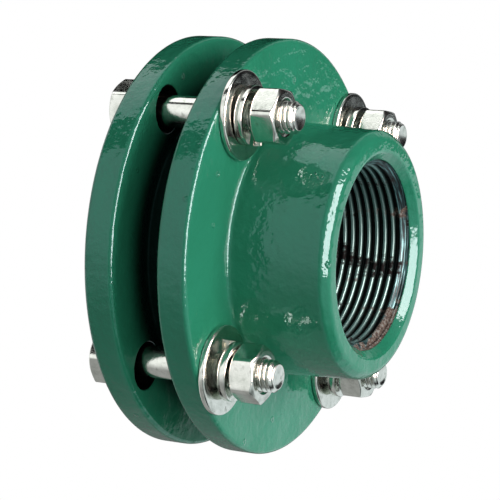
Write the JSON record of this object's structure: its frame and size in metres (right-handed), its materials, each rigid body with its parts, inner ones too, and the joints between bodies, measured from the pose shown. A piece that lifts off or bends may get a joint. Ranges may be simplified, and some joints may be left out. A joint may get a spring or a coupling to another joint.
{
  "type": "flanged double union",
  "caption": "Bolted pipe coupling: two flanges with threaded hubs joined face to face over a rubber gasket, to join two threaded pipes in line.",
  "frame": {"origin": "centre of the lower hub's end, on which the coupling stands", "axes": "+Z along the pipe, from the bolt heads' side to the nuts' side; the four bolts stand at 45 degrees to X and Y"},
  "size_m": [0.1068, 0.1068, 0.066],
  "materials": {
    "green_enamel": "gloss",
    "black_rubber": "matte",
    "bright_steel": "polished"
  },
  "bodies": {
    "root": {"front_flange": "green_enamel", "rear_flange": "green_enamel", "gasket": "black_rubber", "hex_bolt_1": "bright_steel", "flat_washer_1": "bright_steel", "spring_washer_1": "bright_steel", "hex_nut_1": "bright_steel", "hex_bolt_2": "bright_steel", "flat_washer_2": "bright_steel", "spring_washer_2": "bright_steel", "hex_nut_2": "bright_steel", "hex_bolt_3": "bright_steel", "flat_washer_3": "bright_steel", "spring_washer_3": "bright_steel", "hex_nut_3": "bright_steel", "hex_bolt_4": "bright_steel", "flat_washer_4": "bright_steel", "spring_washer_4": "bright_steel", "hex_nut_4": "bright_steel"}
  },
  "joints": []
}
